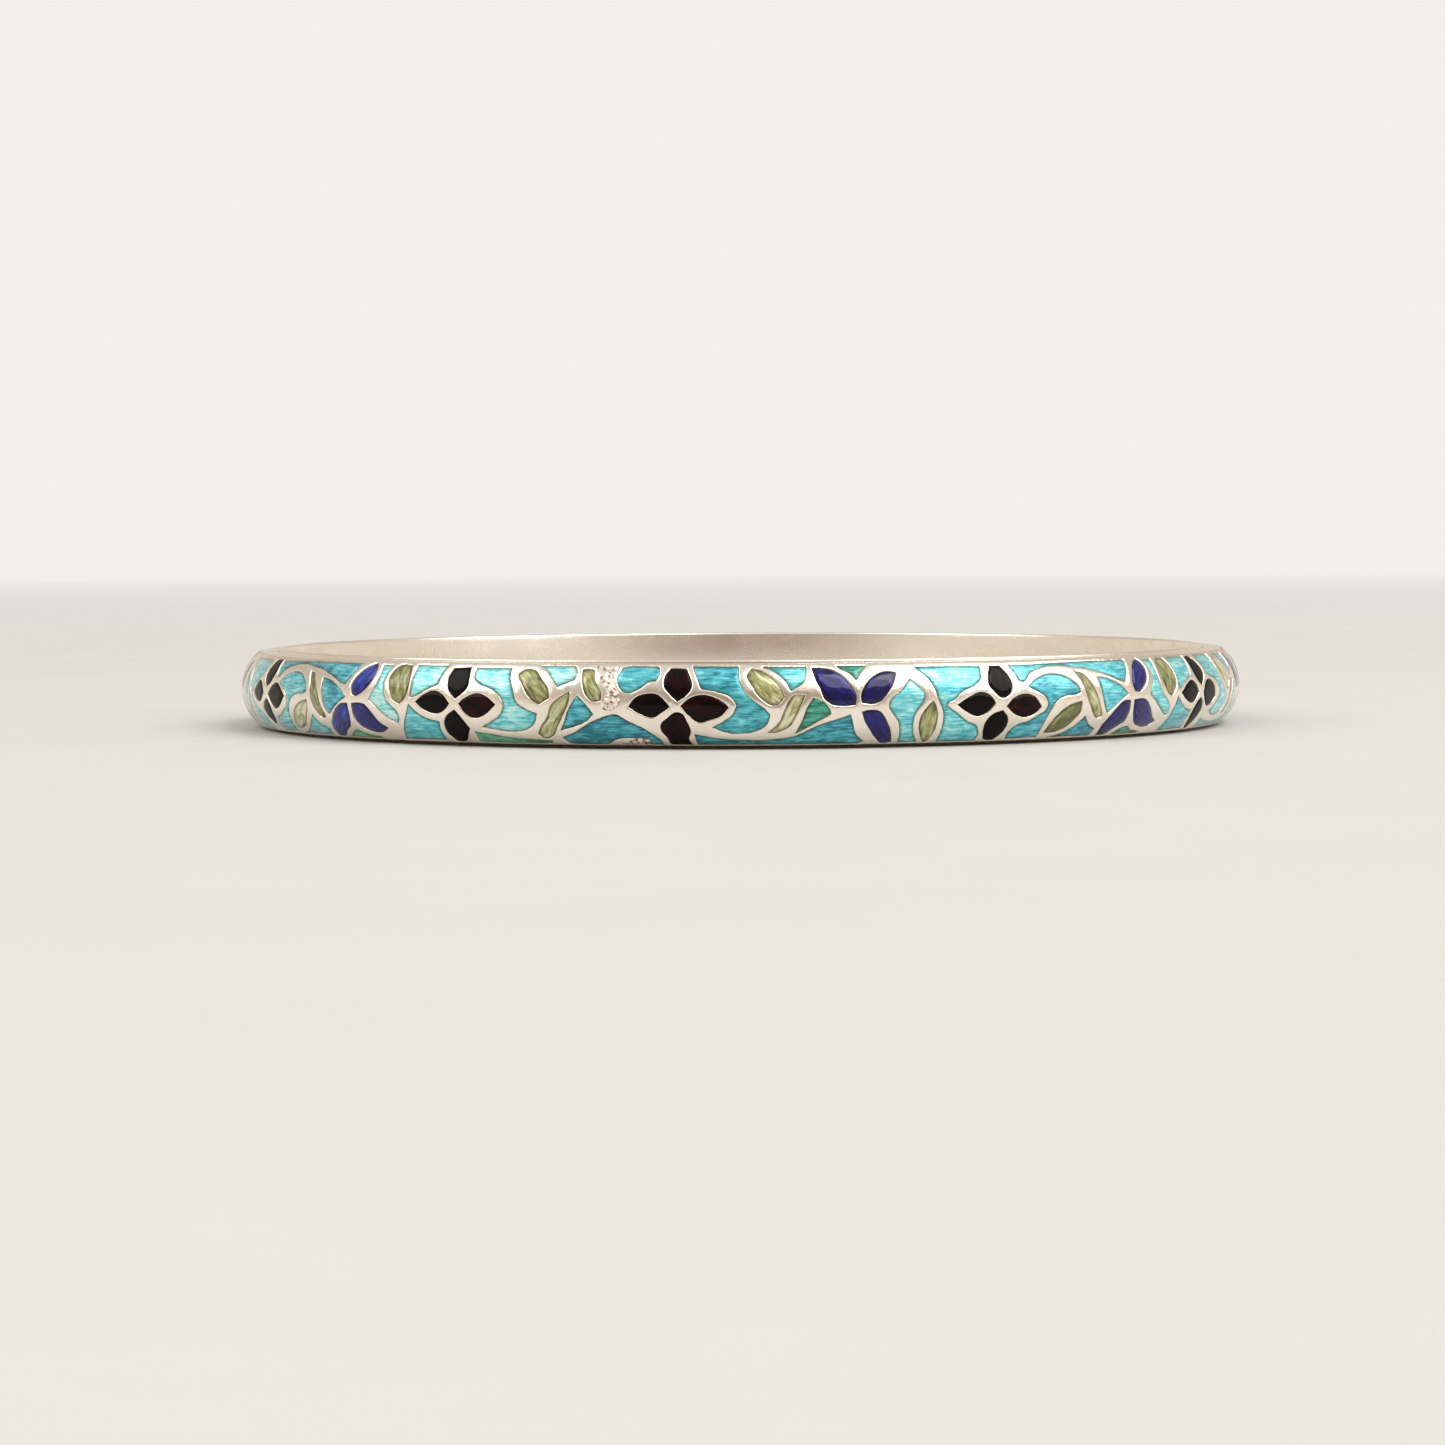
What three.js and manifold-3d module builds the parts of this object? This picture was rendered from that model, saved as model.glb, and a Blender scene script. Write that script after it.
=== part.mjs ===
// A rigid, closed bangle: a D-section silver ring with enamel fused into cells in its domed face.
// Millimetres, +Z up through the hand hole, the front of the bangle towards -Y, the lowest edge
// at z = 0. Round the ring, angles are degrees from the front, positive towards +X.
import * as THREE from "three";
import { mergeVertices } from "three/addons/utils/BufferGeometryUtils.js";
import Module from "manifold-3d";

const wasm = await Module();
wasm.setup();

// ---- Driving dimensions -------------------------------------------------------------------

const handHoleRadius = 30.15; // a 2-6 bangle: 60.3 mm across the hand hole
const crestRadius = 33.25; // outermost line of the dome
const domeArcRadius = 3.1; // section radius of the domed face
const linerThickness = 0.65;
const linerHalfWidth = 2.6; // the liner's edges stand just past the shell's
const linerChamfer = 0.1;
const shellHalfWidth = 2.42;
const channelHalfWidth = 2.28; // the enamelled band between the shell's two plain borders
const channelDepth = 0.6;
const shellFootHeight = 0.45; // the flat land where each shell edge is soldered to the liner
const shellSheet = 0.55; // silver left under the channel floor
const enamelDepth = 0.42;
const fitGap = 0.05; // clearance between neighbouring solids
const cutterRise = 1.5; // how far a cutting plate stands out of the dome
const lineWidth = 0.3; // silver line round each motif: the room left for it in the ground
const bellyPlace = 0.52; // where along its length a lobe is widest
const neckRadius = 0.3; // where two lobes of a motif meet, from its centre
const neckGrowth = 1.6; // how much faster than its sides a motif's border grows at a neck
const tipGrowth = 1.35; // and at a tip

const ringSegments = 72;
const groundStepsAround = 5;
const groundStepsAcross = 4;

// Black flowers: five places in front, and even steps round the back.
const frontFlowerAngles = [-6.4, 27.8, 60.8];
const leftFlowerAngles = [295.1, 329.2];
const backSteps = 7;

const silverFinish = { color: 0xd9cdbd, roughness: 0.28, metalness: 1.0 };
const solderFinish = { color: 0xcfc5b4, roughness: 0.6, metalness: 1.0 };
const blackFinish = { color: 0x1a1110, roughness: 0.12, metalness: 0.0 };
const blueFinish = { color: 0x23278f, roughness: 0.12, metalness: 0.0 };
const oliveFinish = { color: 0x9ea06a, roughness: 0.15, metalness: 0.0 };
const turquoiseFinish = { color: 0x5fbcc4, roughness: 0.15, metalness: 0.0 };

// ---- The band's own coordinates -----------------------------------------------------------
// A motif is drawn flat: x is millimetres round the crest from a flower, y is millimetres
// across the band from its middle.

const millimetresPerDegree = (crestRadius * Math.PI) / 180;

function domeRadius(across) {
  const drop = domeArcRadius - Math.sqrt(domeArcRadius ** 2 - across ** 2);
  return crestRadius - drop;
}

function placeOnRing(angle, radius, across) {
  const radians = THREE.MathUtils.degToRad(angle);
  const x = radius * Math.sin(radians);
  const y = -radius * Math.cos(radians);
  return new THREE.Vector3(x, y, across + linerHalfWidth);
}

// ---- Outlines -----------------------------------------------------------------------------

// One lobe of a motif, from its neck to its tip and back: a pointed oval about a centre, with
// a silver border of the given growth round it.
function lobePoints(lobe, growth) {
  const direction = THREE.MathUtils.degToRad(lobe.angle);
  const along = new THREE.Vector2(Math.cos(direction), Math.sin(direction));
  const side = new THREE.Vector2(-along.y, along.x);
  const at = (distance, half) => along.clone().multiplyScalar(distance).addScaledVector(side, half);
  const belly = lobe.width / 2 + growth;
  return [
    at(bellyPlace * lobe.length, -belly),
    at(lobe.length + tipGrowth * growth, 0),
    at(bellyPlace * lobe.length, belly),
  ];
}

// Lobes round a centre, in the order of their angles, joined at narrow necks.
function spray({ centre, lobes }, growth) {
  const bellies = lobes.map((lobe) => lobePoints(lobe, growth));
  const points = bellies.flatMap((lobe, index) => {
    const [nextBelly] = bellies[(index + 1) % bellies.length];
    const between = lobe.at(-1).clone().normalize().add(nextBelly.clone().normalize());
    const radius = neckRadius + neckGrowth * growth;
    return [...lobe, between.setLength(radius)];
  });
  return points.map((point) => point.add(new THREE.Vector2(...centre)));
}

// A single leaf is two lobes end to end.
function leaf({ centre, length, width, angle }, growth) {
  const ends = [angle, angle + 180];
  const middle = new THREE.Vector2(...centre);
  const points = ends.flatMap((end) => lobePoints({ length: length / 2, width, angle: end }, growth));
  return points.map((point) => point.add(middle));
}

function patch({ centre, size }, growth) {
  const [x, y] = centre;
  const halfWidth = size[0] / 2 + growth;
  const halfHeight = size[1] / 2 + growth;
  const corners = [[-1, -1], [1, -1], [1, 1], [-1, 1]];
  return corners.map(([i, j]) => new THREE.Vector2(x + i * halfWidth, y + j * halfHeight));
}

function keptWithin(points, limit) {
  const clamp = (value) => THREE.MathUtils.clamp(value, -limit, limit);
  return points.map((point) => new THREE.Vector2(point.x, clamp(point.y)));
}

// ---- Solids -------------------------------------------------------------------------------

function toManifold(geometry) {
  const bare = new THREE.BufferGeometry();
  bare.setAttribute("position", geometry.getAttribute("position"));
  if (geometry.index) bare.setIndex(geometry.index);
  const merged = mergeVertices(bare, 1e-5);
  const vertProperties = new Float32Array(merged.getAttribute("position").array);
  const triVerts = new Uint32Array(merged.index.array);
  return new wasm.Manifold(new wasm.Mesh({ numProp: 3, vertProperties, triVerts }));
}

function toGeometry(manifold) {
  const mesh = manifold.getMesh();
  const geometry = new THREE.BufferGeometry();
  geometry.setAttribute("position", new THREE.BufferAttribute(mesh.vertProperties, 3));
  geometry.setIndex(new THREE.BufferAttribute(mesh.triVerts, 1));
  return geometry;
}

// Bends flat geometry on to the band: x runs round the ring from the unit's first flower, y
// across it, and z from 0 at the bottom of the piece to 1 at its top.
function bend(geometry, unit, bottomDepth, topDepth) {
  const positions = geometry.getAttribute("position");
  for (let i = 0; i < positions.count; i += 1) {
    const across = positions.getY(i);
    const depth = THREE.MathUtils.lerp(bottomDepth, topDepth, positions.getZ(i));
    const angle = unit.start + (positions.getX(i) * unit.stretch) / millimetresPerDegree;
    const placed = placeOnRing(angle, domeRadius(across) - depth, across);
    positions.setXYZ(i, placed.x, placed.y, placed.z);
  }
  return geometry;
}

function plate(outline, unit) {
  const flat = new THREE.ExtrudeGeometry(new THREE.Shape(outline), { depth: 1, bevelEnabled: false });
  return bend(flat, unit, channelDepth, -cutterRise);
}

// The enamel of one motif: a lathed disc whose rim is drawn out to the outline, so that both
// of its faces follow the dome.
function fill(outline, centre, unit) {
  const rim = keptWithin(outline(0), channelHalfWidth - 2 * fitGap);
  const profile = [[0, 0], [0.55, 0], [1, 0], [1, 1], [0.55, 1], [0, 1]];
  const disc = new THREE.LatheGeometry(profile.map((pair) => new THREE.Vector2(...pair)), rim.length);
  const middle = new THREE.Vector2(...centre);
  const positions = disc.getAttribute("position");
  for (let i = 0; i < positions.count; i += 1) {
    const [reach, height] = profile[i % profile.length];
    const corner = rim[Math.floor(i / profile.length) % rim.length];
    const point = middle.clone().lerp(corner, reach);
    positions.setXYZ(i, point.x, point.y, height);
  }
  return bend(disc, unit, enamelDepth, 0);
}

// A closed section turned round the Z axis.
function turned(section) {
  const points = section.map(([radius, across]) => new THREE.Vector2(radius, across));
  points.push(points[0].clone());
  const lathe = new THREE.LatheGeometry(points, ringSegments);
  lathe.rotateX(Math.PI / 2);
  lathe.translate(0, 0, linerHalfWidth);
  return lathe;
}

// The lower half of a section from its upper half, which runs from the outside in.
function flipped(upper) {
  return upper.map(([radius, across]) => [radius, -across]).reverse();
}

function linerSection() {
  const outerRadius = handHoleRadius + linerThickness;
  const upper = [
    [outerRadius, linerHalfWidth - linerChamfer],
    [outerRadius - linerChamfer, linerHalfWidth],
    [handHoleRadius + linerChamfer, linerHalfWidth],
    [handHoleRadius, linerHalfWidth - linerChamfer],
  ];
  return [...upper, ...flipped(upper)];
}

function shellSection() {
  const footRadius = handHoleRadius + linerThickness + fitGap;
  const footTop = shellHalfWidth - shellFootHeight;
  const roofDepth = channelDepth + shellSheet;
  const floor = (across) => [domeRadius(across) - channelDepth, across];
  const roof = (across) => [domeRadius(across) - roofDepth, across];
  const upper = [
    floor(0.75),
    floor(1.5),
    floor(channelHalfWidth),
    [domeRadius(channelHalfWidth), channelHalfWidth],
    [domeRadius(shellHalfWidth), shellHalfWidth],
    [footRadius, shellHalfWidth],
    [footRadius, footTop],
    roof(1.2),
  ];
  return [floor(0), ...upper, roof(0), ...flipped(upper)];
}

// ---- The pattern --------------------------------------------------------------------------
// Lengths in millimetres, lobe angles in degrees from the +x direction of the flat band.

const blackLobes = [
  { angle: 0, length: 2.85, width: 1.45 },
  { angle: 90, length: 2.2, width: 1.6 },
  { angle: 180, length: 2.85, width: 1.35 },
  { angle: 270, length: 2.3, width: 1.7 },
];

const unitA = {
  length: 19.85,
  flower: {
    centre: [10.74, 0.1],
    lobes: [
      { angle: 36, length: 3.0, width: 1.2 },
      { angle: 144, length: 3.4, width: 1.3 },
      { angle: 312, length: 2.35, width: 1.2 },
    ],
  },
  pair: {
    centre: [6.56, 0.3],
    lobes: [
      { angle: 19, length: 0.95, width: 0.7 },
      { angle: 144, length: 2.9, width: 1.15 },
      { angle: 239, length: 2.2, width: 0.75 },
    ],
  },
  single: { centre: [15.2, -1.02], length: 2.45, width: 1.05, angle: 90 },
};

const unitB = {
  length: 19.15,
  flower: {
    centre: [10.62, 0.05],
    lobes: [
      { angle: 50, length: 2.1, width: 1.25 },
      { angle: 224, length: 3.2, width: 1.3 },
      { angle: 326, length: 3.3, width: 1.3 },
    ],
  },
  pair: {
    centre: [6.62, 0.1],
    lobes: [
      { angle: 107, length: 1.6, width: 0.8 },
      { angle: 214, length: 3.4, width: 1.1 },
      { angle: 317, length: 2.0, width: 0.8 },
    ],
  },
  single: { centre: [14.85, 1.05], length: 2.3, width: 1.4, angle: 90 },
};

// The last unit is cut short at the place where the ends of the strip are soldered.
const unitAtSeam = {
  length: 14.16,
  pair: unitA.pair,
  single: { centre: [8.9, 1.1], length: 2.05, width: 0.8, angle: 119 },
  seam: { centre: [10.15, 1.05], size: [0.8, 2.2] },
};

function flowerAngles() {
  const first = frontFlowerAngles.at(-1);
  const step = (leftFlowerAngles[0] - first) / backSteps;
  const back = Array.from({ length: backSteps - 1 }, (_, i) => first + step * (i + 1));
  return [...frontFlowerAngles, ...back, ...leftFlowerAngles];
}

function layOutUnits() {
  const angles = flowerAngles();
  return angles.map((start, index) => {
    const last = index === angles.length - 1;
    const end = last ? angles[0] + 360 : angles[index + 1];
    const alternate = index % 2 === 0 ? unitA : unitB;
    const pattern = last ? unitAtSeam : alternate;
    const stretch = ((end - start) * millimetresPerDegree) / pattern.length;
    return { start, pattern, stretch };
  });
}

// ---- Building -----------------------------------------------------------------------------

const bangle = new THREE.Group();

function addPiece(name, geometry, finish) {
  const flat = geometry.index ? geometry.toNonIndexed() : geometry;
  flat.computeVertexNormals();
  const piece = new THREE.Mesh(flat, new THREE.MeshStandardMaterial(finish));
  piece.name = name;
  bangle.add(piece);
}

function numbered(name, index) {
  return `${name}_${String(index).padStart(2, "0")}`;
}

// The turquoise between two black flowers: a domed strip with room cut for every motif and for
// the silver line round it.
function groundPiece(unit, rooms) {
  const { length } = unit.pattern;
  const width = 2 * (channelHalfWidth - fitGap);
  const strip = new THREE.BoxGeometry(
    length - 2 * fitGap, width, 1, groundStepsAround, groundStepsAcross, 1,
  );
  strip.translate(length / 2, 0, 0.5);
  let body = toManifold(bend(strip, unit, enamelDepth, 0));
  for (const room of rooms) {
    body = body.subtract(toManifold(plate(keptWithin(room, shellHalfWidth), unit)));
  }
  return toGeometry(body);
}

function motifsOf({ pattern }) {
  const black = { centre: [0, 0], lobes: blackLobes };
  const found = [
    { name: "black_flower", finish: blackFinish, draw: spray, drawing: black },
    { name: "leaf_pair", finish: oliveFinish, draw: spray, drawing: pattern.pair },
    { name: "leaf_single", finish: oliveFinish, draw: leaf, drawing: pattern.single },
  ];
  if (pattern.flower) {
    found.push({ name: "blue_flower", finish: blueFinish, draw: spray, drawing: pattern.flower });
  }
  return found;
}

layOutUnits().forEach((unit, index) => {
  const { pattern } = unit;
  const nextBlack = { centre: [pattern.length, 0], lobes: blackLobes };
  const rooms = [spray(nextBlack, lineWidth)];
  for (const { name, finish, draw, drawing } of motifsOf(unit)) {
    const outline = (growth) => draw(drawing, growth);
    addPiece(numbered(name, index), fill(outline, drawing.centre, unit), finish);
    rooms.push(outline(lineWidth));
  }
  if (pattern.seam) {
    const outline = (growth) => patch(pattern.seam, growth);
    addPiece("seam_solder", fill(outline, pattern.seam.centre, unit), solderFinish);
    rooms.push(outline(fitGap));
  }
  addPiece(numbered("turquoise_ground", index), groundPiece(unit, rooms), turquoiseFinish);
});

addPiece("outer_shell", turned(shellSection()), silverFinish);
addPiece("inner_liner", turned(linerSection()), silverFinish);

export default bangle;
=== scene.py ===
import math
from random import Random

import bpy
import numpy as np
from mathutils import Matrix, Vector, geometry, noise


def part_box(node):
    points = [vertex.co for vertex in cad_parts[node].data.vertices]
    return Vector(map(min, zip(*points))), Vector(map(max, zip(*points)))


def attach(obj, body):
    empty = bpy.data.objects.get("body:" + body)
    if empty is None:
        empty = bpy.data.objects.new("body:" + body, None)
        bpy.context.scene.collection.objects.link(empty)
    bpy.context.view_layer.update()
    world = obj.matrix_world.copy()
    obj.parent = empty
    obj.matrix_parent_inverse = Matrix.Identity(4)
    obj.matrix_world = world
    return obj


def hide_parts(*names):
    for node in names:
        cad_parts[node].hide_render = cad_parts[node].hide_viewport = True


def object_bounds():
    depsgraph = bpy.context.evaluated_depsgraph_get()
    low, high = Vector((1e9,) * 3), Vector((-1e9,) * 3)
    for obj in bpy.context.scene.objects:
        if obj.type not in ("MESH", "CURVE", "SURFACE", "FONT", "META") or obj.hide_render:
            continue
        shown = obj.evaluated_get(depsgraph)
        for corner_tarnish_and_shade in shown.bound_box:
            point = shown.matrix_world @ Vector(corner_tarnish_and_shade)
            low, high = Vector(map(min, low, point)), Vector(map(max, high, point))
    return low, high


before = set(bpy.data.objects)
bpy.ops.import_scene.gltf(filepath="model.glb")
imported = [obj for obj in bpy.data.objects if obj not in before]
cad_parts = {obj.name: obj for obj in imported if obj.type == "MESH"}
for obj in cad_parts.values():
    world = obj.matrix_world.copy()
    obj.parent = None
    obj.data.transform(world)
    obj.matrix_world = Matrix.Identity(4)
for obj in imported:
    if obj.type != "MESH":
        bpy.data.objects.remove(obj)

MM = 0.001
cad_low, cad_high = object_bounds()
shell_low, shell_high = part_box("outer_shell")
liner_low, liner_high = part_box("inner_liner")

# Millimetres. The bangle's axis is Z, its front is -Y, and its mid-plane lies halfway up.
# Read from the frame: the dome's outer radius, the mid-plane's height, the half-widths of the
# shell and the liner, and the liner's outer radius.
CREST = round(cad_high.y / MM, 2)
MIDDLE = (shell_low.z + shell_high.z) / 2 / MM
SHELL_HALF = (shell_high.z - shell_low.z) / 2 / MM
LINER_HALF = (liner_high.z - liner_low.z) / 2 / MM
LINER_OUTER = -liner_low.y / MM
# Not in the frame: the dome's radius across the band, the thickness of the liner and how far its
# inner face bulges, the gap between the two, the shell's sheet, and the depth of a cell.
DOME_ARC = 3.1
LINER_THICKNESS = 0.65
LINER_CROWN = 0.15
FIT_GAP = 0.05
SHELL_SHEET = 0.55
CELL_DEPTH = 0.32
# How far the silver drops at the edge of a cell, and over what width.
EDGE_DROP = 0.04
EDGE_ROUND = 0.075
# The same for the shell's own rims.
RIM_DROP = 0.05
RIM_ROUND = 0.06
# How finely the ring and the cells' outlines are divided.
RING_STEPS = 720
OUTLINE_STEP = 0.09
# One degree and one turn, measured along the crest of the dome.
DEGREE = CREST * math.pi / 180
TURN = 360 * DEGREE

# ---- the enamel pattern ----
# Outlines are points of (degrees round the ring from the front, mm above the mid-plane).
# Each flower and unit is drawn where it sits at the front or side; the back repeats them.

FLOWERS = {
    "front": (-6.5, [
        [(-11.5, -.05), (-10.8, .45), (-9.6, .7), (-8.5, .65), (-7.7, .25), (-7.25, -.05),
         (-8, -.35), (-9, -.65), (-10.3, -.45)],
        [(-6.15, 0), (-5.3, .4), (-4.2, .65), (-2.8, .5), (-1.8, .2), (-1.3, -.1),
         (-2.2, -.6), (-3.2, -.8), (-4.3, -.95), (-5.2, -.6)],
        [(-6.45, .25), (-5.6, .6), (-5, 1.1), (-5.2, 1.6), (-5.6, 2.1), (-7.3, 2.15),
         (-7.8, 1.7), (-7.9, 1.2), (-7.3, .7)],
        [(-6.6, -.38), (-6.1, -.42), (-5.5, -.95), (-5.2, -1.5), (-5.4, -2), (-5.0, -2.3),
         (-7.3, -2.3), (-7.6, -1.9), (-8.2, -1.4), (-8.2, -1.1), (-7.5, -.7)],
    ]),
    "right": (27.7, [
        [(22.6, -.1), (23.9, .32), (25.5, .6), (26.5, .35), (27, -.05), (26.2, -.5), (25, -.8),
         (23.6, -.5)],
        [(28.3, -.25), (29.2, .2), (30.5, .42), (31.8, .25), (32.7, -.35), (31.9, -.75),
         (30.6, -.95), (29.2, -.65)],
        [(27.8, .25), (26.9, .6), (26.4, 1), (26.5, 1.5), (27.1, 2.1), (28.3, 2.1), (29, 1.4),
         (29.1, .85), (28.5, .35)],
        [(27.9, -.5), (26.8, -.7), (26.1, -1.05), (26, -1.7), (26.4, -2.2), (27.3, -2.3),
         (28.2, -2), (28.7, -1.4), (28.6, -.95)],
    ]),
    "left": (-30.9, [
        [(-36.1, .05), (-35.1, .45), (-33.8, .72), (-32.5, .5), (-31.6, 0), (-32.4, -.42),
         (-33.5, -.6), (-35, -.38)],
        [(-30.5, 0), (-29.5, .4), (-28.3, .62), (-27.1, .45), (-26, 0), (-27.2, -.55),
         (-28.7, -.82), (-29.8, -.5)],
        [(-30.9, .28), (-32, 1), (-32.1, 1.6), (-31.9, 2.05), (-29.8, 2.15), (-29.5, 1.5),
         (-29.5, 1), (-30.1, .6)],
        [(-31, -.35), (-32.3, -.9), (-32.6, -1.3), (-32.4, -1.9), (-31.9, -2.2), (-30.5, -2.2),
         (-29.9, -1.8), (-29.5, -1.45), (-30.1, -.9)],
    ]),
    "far_left": (-65, [
        [(-70.3, 0), (-69.3, .5), (-68, .85), (-66.8, .6), (-66, .1), (-66.9, -.3), (-68, -.5),
         (-69.4, -.3)],
        [(-64.6, 0), (-63.6, .5), (-62.3, .78), (-60.9, .55), (-59.6, 0), (-60.9, -.55),
         (-62.5, -.82), (-63.8, -.5)],
        [(-64.9, .5), (-65.8, .8), (-66.1, 1.4), (-65.5, 2.15), (-63.6, 2.2), (-63.2, 1.5),
         (-63.7, .9)],
        [(-65, -.25), (-66.2, -.55), (-66.8, -.9), (-66.3, -1.5), (-64.8, -1.95),
         (-63.9, -1.5), (-64.1, -.7)],
    ]),
    "far_right": (60.8, [
        [(55.7, .05), (57, .52), (58.5, .78), (59.6, .45), (60.1, 0), (59.4, -.4), (58.4, -.6),
         (56.9, -.4)],
        [(61.3, 0), (62, .5), (63, .75), (64.3, .6), (65, .3), (65.2, -.4), (64, -.8),
         (62.5, -.85), (61.7, -.45)],
        [(60.9, .4), (59.9, .8), (59.4, 1.3), (59.4, 2.15), (60.6, 2.2), (61.8, 1.7),
         (62.1, 1.1), (61.6, .7)],
        [(60.6, -.35), (59.8, -.6), (59.3, -.9), (59, -1.4), (59.5, -2.1), (60.4, -2.3),
         (61.2, -1.6), (61.6, -.9), (61.2, -.5)],
    ]),
}

UNIT_A = (-6.4, 27.8, {
    "turquoise": [
        [(-4.9, 2.25), (-.1, 2.22), (-.15, 1.7), (.3, .95), (1.3, .3), (2.4, -.15), (3, -.55),
         (2.7, -1.05), (1.4, -1.5), (0, -1.62), (-1.8, -1.5), (-2.9, -1.25), (-1.6, -.85),
         (-.7, -.45), (-.35, 0), (-.9, .45), (-2.3, .8), (-4, 1), (-4.4, 1.5)],
        [(-4.7, -1.65), (-2.5, -1.9), (0, -2), (3, -2), (5.5, -1.8), (8, -1.15), (10.2, -.75),
         (11.2, -.55), (11.5, -1.1), (11.9, -1.7), (12.9, -2.15), (12.3, -2.3), (4, -2.3),
         (-4.4, -2.3)],
        [(2.3, 2.2), (6.9, 2.2), (6.6, 1.45), (5.1, .85), (4.6, 1.35), (3.6, 1.9)],
        [(17.6, 1.45), (16.4, .7), (15.5, .35), (15.2, 0), (15.6, -.5), (16.3, -1),
         (16.6, -1.6), (16.7, -2.25), (18.7, -2.25), (18.1, -1.7), (17.9, -1), (18.3, -.3),
         (18.9, .1), (19.1, .5), (18.6, .95)],
        [(18.4, 2.12), (22, 2.14), (26, 2.1), (25.5, 1.3), (24.9, 1.05), (23, .55),
         (22.2, .15), (21.7, .05), (21.5, -.1), (22.5, -.5), (24, -1.1), (25.1, -1.35),
         (25.6, -1.9), (25.5, -2.3), (21, -2.3), (21.2, -1.2), (21, -.3), (20.5, .3),
         (20.2, .9), (19.6, 1.5)],
    ],
    "emerald": [
        [(7.4, .45), (8.3, .25), (9.1, -.3), (9.2, -.5), (8.5, -.7), (7, -1.2), (5.6, -1.65),
         (6.3, -.8), (6.7, -.2)],
        [(10, 2.25), (13.3, 2.25), (12.6, 1.9), (11.9, 1.4), (11.3, 1.8), (10.3, 2.1)],
    ],
    "leaf_pair": [
        [(.6, 1.7), (1.1, 2.1), (2.3, 1.95), (3.4, 1.5), (4.2, .9), (4.45, .5), (3.9, .1),
         (3.3, .02), (2.2, .35), (1.2, 1.1)],
        [(4.9, .3), (5.3, .55), (6.6, .6), (6.2, .1), (5.7, -.5), (5, -1.2), (4, -1.5),
         (2.8, -1.6), (4, -.9), (4.5, -.2)],
    ],
    "leaf_single": [
        [(20, .2), (19.3, -.2), (18.7, -.7), (18.6, -1.3), (19, -1.9), (19.5, -2.25),
         (20, -2.2), (20.4, -1.6), (20.5, -1), (20.4, -.3)],
    ],
    "blue": [
        [(11.75, 0), (11.8, .6), (11.2, 1.2), (10.2, 1.8), (8.8, 2.1), (7.4, 2.15), (7.7, 1.5),
         (8.1, 1), (8.5, .4), (9.3, .05), (10.5, -.05)],
        [(12.4, .1), (12.3, .5), (12.8, 1.1), (14, 1.7), (15.3, 1.9), (16.3, 1.8), (15.8, 1.2),
         (15.3, .8), (14.3, .2), (13.5, .05)],
        [(12.4, -.4), (13.2, -.33), (14.2, -.4), (15, -.95), (15.6, -1.6), (15.9, -2.2),
         (15, -2.3), (14.2, -2), (13.3, -1.4), (12.7, -.9)],
    ],
})

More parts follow.
